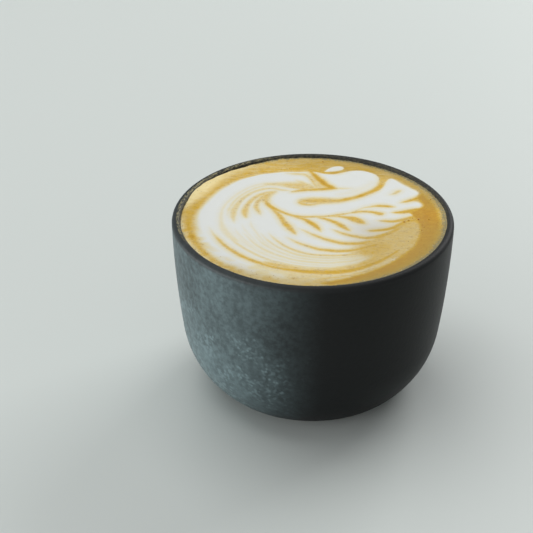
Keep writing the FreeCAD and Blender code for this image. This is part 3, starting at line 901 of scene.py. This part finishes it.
def poured(x, y):
    """How much milk there is at each place, how much painted shade it has, how frothy it is, and where
    painted light makes it paler.
    """
    x, y = x + 0.14 * ripple(x, y, 7, 3), y + 0.14 * ripple(x, y, 7, 4) + 0.3
    away = np.hypot(x, y)
    milk = 0.385 + 0.03 * ripple(x, y, 9, 5) + 0.09 * rise(y, 20, 30) * rise(x, 4, -12)
    draw_swan(x, y, milk)

    # Mottles where the foam meets the wall on the near left, and streaks in the crema at the back.
    near_left = rise(away, 34, 37) * rise(-x * 0.6 - y * 0.8, 24, 32)
    milk -= 0.15 * near_left * rise(ripple(x, y, 4.2, 11), -0.3, 0.7)
    streaks = ripple(x * 0.45, y * 1.7, 3.0, 12) + 0.7 * ripple(x * 0.6, y * 1.2, 1.5, 13)
    milk += 0.09 * streaks * rise(y, 22, 30) * rise(milk, 0.75, 0.55)

    # A pale fringe between those mottles and the wall, and a dimmer one on the right.
    fringe = rise(away, 38.8, 41.2) * rise(-x * 0.8 - y * 0.6, 24, 34) * rise(y, 6, -2)
    milk += (0.80 - milk) * 0.8 * fringe * rise(ripple(x, y, 3.4, 14), -1.5, 0.5)
    right_edge = rise(away, 38.2, 40.4) * rise(x * 0.9, -4, 16)
    milk += (0.52 - milk) * 0.5 * right_edge

    # Painted light: the crema inside this outline is painted paler, only where it is crema.
    soft, outline = PAINTED_LIGHT_OUTLINE
    bright = rise(outside_by(x, y, outline) / soft, 0.5, -0.5) * rise(milk, 0.8, 0.5)
    # The froth is widest on the right.
    width = 1.1 + 0.4 * np.cos(np.arctan2(y, x))
    froth = rise(away + width, 40.7, 42.9) * (1 - bright)

    # Painted shade: darker towards the wall at the back and on the right, where it isn't milk, along the
    # right edge, on the near side and on the near right.
    back = 0.40 * rise(y + x * 0.3, 30, 38)
    right = 0.40 * rise(away, 34, 39) * rise(x * 0.8 + y * 0.6, 20, 30) * rise(y, 2, 10)
    depth = np.maximum(back, right) * rise(milk, 0.9, 0.6) + 0.24 * right_edge
    depth += 0.38 * rise(away, 34, 40) * rise(x * 0.3 - y, 10, 30) + 0.31 * rise(x, 6, 18) * rise(y, 2, -8)
    return np.clip(milk, 0, 1), np.clip(depth, 0, 1), froth, bright


def foam_height(x, y, level):
    """Height of the foam at places given in metres: near the wall it follows the uneven edge."""
    away = np.hypot(x, y)
    degrees, below = np.array(EDGE_LEVEL).T
    edge = np.interp(np.degrees(np.arctan2(y, x)) % 360, degrees, below) * MM
    edge = edge + 0.06 * MM * ripple(x / UNIT, y / UNIT, 3.5, 8)
    # It bends towards the edge over the last sixth of the radius.
    blend = np.clip((away / DRINK_RADIUS - 0.84) / 0.16, 0, 1) ** 1.6
    swell = 0.05 * MM * ripple(x / UNIT, y / UNIT, 22, 6) + 0.02 * MM * ripple(x / UNIT, y / UNIT, 7, 7)
    return CUP_HEIGHT - (level + (edge - level) * blend) + swell


class MakeCup(bpy.types.Operator):
    """Turns the cup and glazes it"""

    bl_idname = "cappuccino.cup"
    bl_label = "Cup"

    def execute(self, context):
        settings = context.scene.cappuccino_cup
        wall = Wall(settings)
        outline = wall.underside() + wall.outside() + wall.inside()
        cup = turned("cup_turned", outline, settings.segments)
        lay_on(cup, "cup", glaze_material(settings))
        return {"FINISHED"}


class MakeDrink(bpy.types.Operator):
    """Fills the cup and pours the swan"""

    bl_idname = "cappuccino.drink"
    bl_label = "Drink"

    def execute(self, context):
        settings = context.scene.cappuccino_drink
        wall = Wall(context.scene.cappuccino_cup)
        drink = self.sheet(settings)
        top = len(drink.data.vertices)
        self.side(drink, wall, settings)
        places = read_points(drink.data)
        x, y, z = places.T
        away = np.hypot(x, y)
        edge = away[:top].max()
        height = foam_height(x, y, settings.level)
        # The foam is drawn out to where the lip's round inner side meets it.
        over = np.clip(height - wall.lip.y, 0, wall.lip_radius * 0.95)
        meets = wall.lip.x - np.sqrt(wall.lip_radius**2 - over**2) + settings.into_wall
        stretch = 1 + (meets / edge - 1) * rise(away / edge, 0.9, 1)
        in_sheet = np.arange(len(places)) < top
        x, y = np.where(in_sheet, x * stretch, x), np.where(in_sheet, y * stretch, y)
        numbers = poured(x / UNIT, y / UNIT)
        for name, values in zip(FOAM_NUMBERS, numbers):
            write_number(drink.data, name, values)
        milk, _, froth, _ = numbers
        height = height + MILK_SWELL * (milk - 0.4) + FROTH_SWELL * froth * ripple(x / UNIT, y / UNIT, 1.6, 9)
        write_points(drink.data, np.column_stack([x, y, np.where(in_sheet, height, z)]))
        lay_on(drink, "cappuccino", foam_material(settings))
        return {"FINISHED"}

    def sheet(self, settings):
        """A square grid drawn out to a disc, a little below the drink's level."""
        deselect()
        bpy.ops.mesh.primitive_grid_add(x_subdivisions=settings.cells, y_subdivisions=settings.cells, size=2)
        drink = bpy.context.object
        drink.name = drink.data.name = "drink_poured"
        edge = DRINK_RADIUS + settings.into_wall
        u, v, _ = read_points(drink.data).T
        x = u * np.sqrt(1 - v * v / 2) * edge
        y = v * np.sqrt(1 - u * u / 2) * edge
        write_points(drink.data, np.column_stack([x, y, np.full_like(x, DRINK_LEVEL - SHEET_DEPTH)]))
        return drink

    def side(self, drink, wall, settings):
        """Extrudes the sheet's edge down the inside of the wall and closes it near the cup's floor."""
        outline = wall.inside(settings.into_wall, from_lip=False)
        radius, height = DRINK_RADIUS + settings.into_wall, DRINK_LEVEL - SHEET_DEPTH
        bpy.ops.object.mode_set(mode="EDIT")
        bpy.ops.mesh.select_mode(type="EDGE")
        bpy.ops.mesh.select_all(action="DESELECT")
        bpy.ops.mesh.select_non_manifold()
        for point in [p for p in outline if p.y < height - SIDE_START][::4]:
            # The rest is the flat floor, which one face closes.
            if point.x < 0.3 * radius:
                break
            bpy.ops.mesh.extrude_edges_move(TRANSFORM_OT_translate={"value": (0, 0, point.y - height)})
            scale = point.x / radius
            bpy.ops.transform.resize(value=(scale, scale, 1), center_override=(0, 0, 0))
            radius, height = point.x, point.y
        bpy.ops.mesh.edge_face_add()
        close_up(drink)


class MakeBubbles(bpy.types.Operator):
    """Scatters bubbles over the crema and along the wall"""

    bl_idname = "cappuccino.bubbles"
    bl_label = "Bubbles"

    def execute(self, context):
        settings = context.scene.cappuccino_drink
        deselect()
        bpy.ops.mesh.primitive_uv_sphere_add(segments=8, ring_count=5, radius=1)
        bpy.ops.object.shade_smooth()
        bubbles = bpy.context.object
        bubbles.name = bubbles.data.name = "bubbles"
        ball = read_points(bubbles.data) * (1, 1, BUBBLE_HEIGHT)
        for count, spot in enumerate(BUBBLES + self.along_the_wall()):
            x, y, radius = (UNIT * number for number in spot)
            if np.hypot(x, y) + radius > RIM_RADIUS:
                raise ValueError(f"the bubble at {spot[0]:.1f}, {spot[1]:.1f} is outside the cup")
            level = foam_height(np.array([x]), np.array([y]), settings.level)[0]
            one = bubbles
            if count:
                one = bubbles.copy()
                one.data = bubbles.data.copy()
                context.scene.collection.objects.link(one)
                one.select_set(True)
            write_points(one.data, ball * radius + (x, y, level))
        bpy.ops.object.join()
        bubbles.data.materials.append(bubble_material(settings))
        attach(bubbles, "root")
        return {"FINISHED"}

    def along_the_wall(self):
        """Small bubbles on the left, where the foam has drained, and in the froth on the right."""
        draw = np.random.default_rng(21)
        found = []
        for count, first, last, inner, outer, least, most in BUBBLE_BANDS:
            for _ in range(count):
                turn, away = radians(draw.uniform(first, last)), draw.uniform(inner, outer)
                found.append((away * cos(turn), away * sin(turn), draw.uniform(least, most)))
        return found


class MakeStage(bpy.types.Operator):
    """Lays the floor and sets the lamps and the camera"""

    bl_idname = "cappuccino.stage"
    bl_label = "Stage"

    def execute(self, context):
        settings = context.scene.cappuccino_stage
        self.floor(settings)
        self.camera(settings)
        self.surround(settings)
        for name, (place, size, power) in LAMPS.items():
            self.lamp(name, place, size, power)
        context.scene.view_settings.view_transform = "Standard"
        return {"FINISHED"}

    def floor(self, settings):
        deselect()
        bpy.ops.mesh.primitive_plane_add(size=settings.floor_size, location=(0, 0, 0))
        floor = bpy.context.object
        floor.name = "floor"
        pale = Material("pale floor")
        floor.data.materials.append(pale.finish(Base_Color=(*settings.floor_colour, 1), Roughness=0.5))

    def camera(self, settings):
        data = bpy.data.cameras.new("camera")
        data.lens = settings.lens
        data.clip_start = 0.01
        camera = bpy.data.objects.new("camera", data)
        bpy.context.scene.collection.objects.link(camera)
        forward = Vector((0, cos(settings.elevation), -sin(settings.elevation)))
        up = Vector((0, sin(settings.elevation), cos(settings.elevation)))
        rim = Vector((0, 0, CUP_HEIGHT))
        camera.location = rim - forward * settings.distance - up * settings.below
        camera.location.x = -settings.aside
        camera.rotation_euler = (pi / 2 - settings.elevation, 0, 0)
        bpy.context.scene.camera = camera

    def surround(self, settings):
        """Plain light from all round."""
        world = bpy.data.worlds.new("studio")
        bpy.context.scene.world = world
        world.use_nodes = True
        background = world.node_tree.nodes["Background"]
        background.inputs["Color"].default_value = (*settings.surround_colour, 1)
        background.inputs["Strength"].default_value = settings.surround_strength

    def lamp(self, name, place, size, power):
        """A soft square lamp that faces the cup."""
        data = bpy.data.lights.new(name, "AREA")
        data.shape = "RECTANGLE"
        data.size, data.size_y = size
        data.energy = power
        lamp = bpy.data.objects.new(name, data)
        lamp.location = place
        aim = Vector((0, 0, CUP_HEIGHT * LAMP_AIM)) - lamp.location
        lamp.rotation_euler = aim.to_track_quat("-Z", "Y").to_euler()
        bpy.context.scene.collection.objects.link(lamp)


class CappuccinoPanel(bpy.types.Panel):
    """Lists the pieces"""

    bl_idname = "VIEW3D_PT_cappuccino"
    bl_label = "Cappuccino"
    bl_space_type = "VIEW_3D"
    bl_region_type = "UI"
    bl_category = "Cappuccino"

    def draw(self, context):
        for operator in (MakeCup, MakeDrink, MakeBubbles, MakeStage):
            self.layout.operator(operator.bl_idname)


SETTINGS = {
    "cappuccino_cup": CupSettings, "cappuccino_drink": DrinkSettings, "cappuccino_stage": StageSettings}
CLASSES = (*SETTINGS.values(), MakeCup, MakeDrink, MakeBubbles, MakeStage, CappuccinoPanel)


def register():
    for item in CLASSES:
        bpy.utils.register_class(item)
    for name, group in SETTINGS.items():
        setattr(bpy.types.Scene, name, PointerProperty(type=group))


def unregister():
    for name in SETTINGS:
        delattr(bpy.types.Scene, name)
    for item in reversed(CLASSES):
        bpy.utils.unregister_class(item)


def main():
    register()
    bpy.ops.cappuccino.cup()
    bpy.ops.cappuccino.drink()
    bpy.ops.cappuccino.bubbles()
    bpy.ops.cappuccino.stage()


if __name__ == "__main__":
    main()
